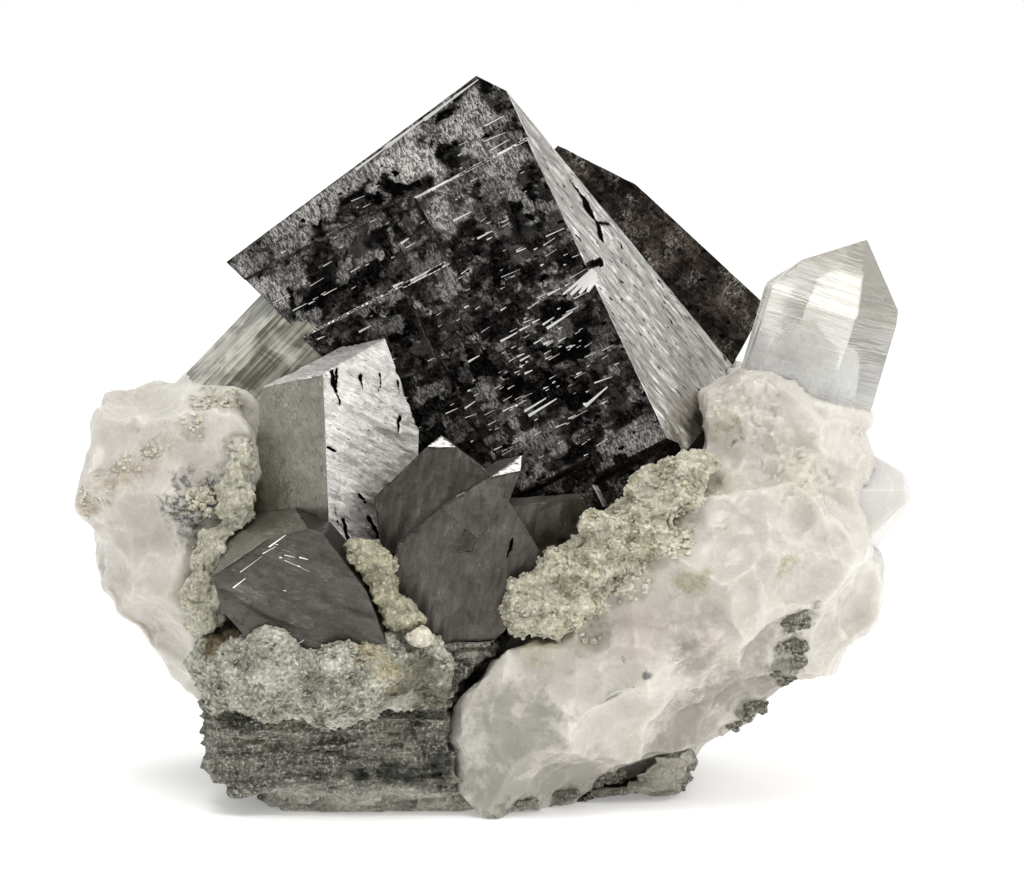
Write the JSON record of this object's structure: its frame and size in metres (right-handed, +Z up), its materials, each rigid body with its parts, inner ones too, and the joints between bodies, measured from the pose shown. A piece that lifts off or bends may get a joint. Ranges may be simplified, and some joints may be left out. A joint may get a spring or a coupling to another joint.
{
  "type": "mineral specimen",
  "caption": "Hand specimen of dark arsenopyrite crystals grown with milky and clear quartz on mica-crusted schist, resting on a flat broken underside.",
  "frame": {"origin": "centre of the bounding box in plan, on the surface it rests on", "axes": "+X to the right along the longest side, +Z up, and -Y towards the front, which shows the large crystal's stepped face"},
  "size_m": [0.1004, 0.0558, 0.0867],
  "materials": {
    "etched_arsenopyrite": "dark etched metallic mineral with bright growth steps",
    "bright_arsenopyrite": "striated silver-grey metallic mineral",
    "grey_arsenopyrite": "fine-striated dark grey metallic mineral",
    "milky_quartz": "translucent milky quartz with clear points",
    "schist": "rough layered mica schist",
    "muscovite": "sugary greenish muscovite crust",
    "cream_mineral": "waxy cream grain"
  },
  "bodies": {
    "root": {"large_arsenopyrite": "etched_arsenopyrite", "rear_arsenopyrite": "etched_arsenopyrite", "blocky_arsenopyrite": "bright_arsenopyrite", "lens_arsenopyrite": "grey_arsenopyrite", "rhombic_arsenopyrite": "grey_arsenopyrite", "left_quartz": "milky_quartz", "right_quartz": "milky_quartz", "schist_base": "schist", "mica_cap": "muscovite", "mica_crust_right": "muscovite", "mica_crust_left": "muscovite", "mica_cluster": "muscovite", "cream_grain": "cream_mineral"}
  },
  "joints": []
}
